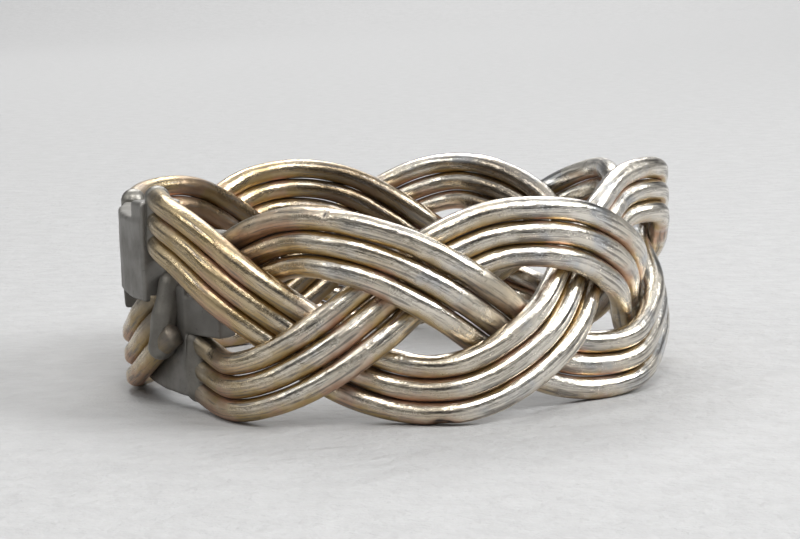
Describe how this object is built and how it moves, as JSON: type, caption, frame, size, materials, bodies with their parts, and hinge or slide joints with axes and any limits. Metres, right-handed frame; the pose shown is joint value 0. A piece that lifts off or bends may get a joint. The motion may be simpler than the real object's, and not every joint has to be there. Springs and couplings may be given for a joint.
{
  "type": "braided wire finger ring",
  "caption": "Rigid silver finger ring woven from round wires as an open three-strand flat braid, its cut ends soldered to a plain joining plate",
  "frame": {"origin": "centre of the bounding box at its bottom: on the finger hole's axis, in the plane of the lowest bends that the ring lies on", "axes": "+Z is the finger hole's axis, up from the surface; -Y faces the viewer; +X is to the viewer's right and the joining plate is on the -X side"},
  "size_m": [0.0208, 0.0208, 0.0082],
  "materials": {
    "wire": "sterling silver, worn smooth on the crests, warm tarnish on the sides and black tarnish in the grooves",
    "joining_plate": "plain silver plate, dull grey with even tarnish",
    "solder": "silver solder, dull and slightly pitted"
  },
  "bodies": {
    "root": {"front_strand_upper_wire": "wire", "front_strand_middle_wire": "wire", "front_strand_lower_wire": "wire", "right_strand_upper_wire": "wire", "right_strand_middle_wire": "wire", "right_strand_lower_wire": "wire", "left_strand_upper_wire": "wire", "left_strand_middle_wire": "wire", "left_strand_lower_wire": "wire", "joining_plate": "joining_plate", "front_strand_start_solder": "solder", "right_strand_start_solder": "solder", "left_strand_start_solder": "solder", "front_strand_end_solder": "solder", "right_strand_end_solder": "solder", "left_strand_end_solder": "solder"}
  },
  "joints": []
}
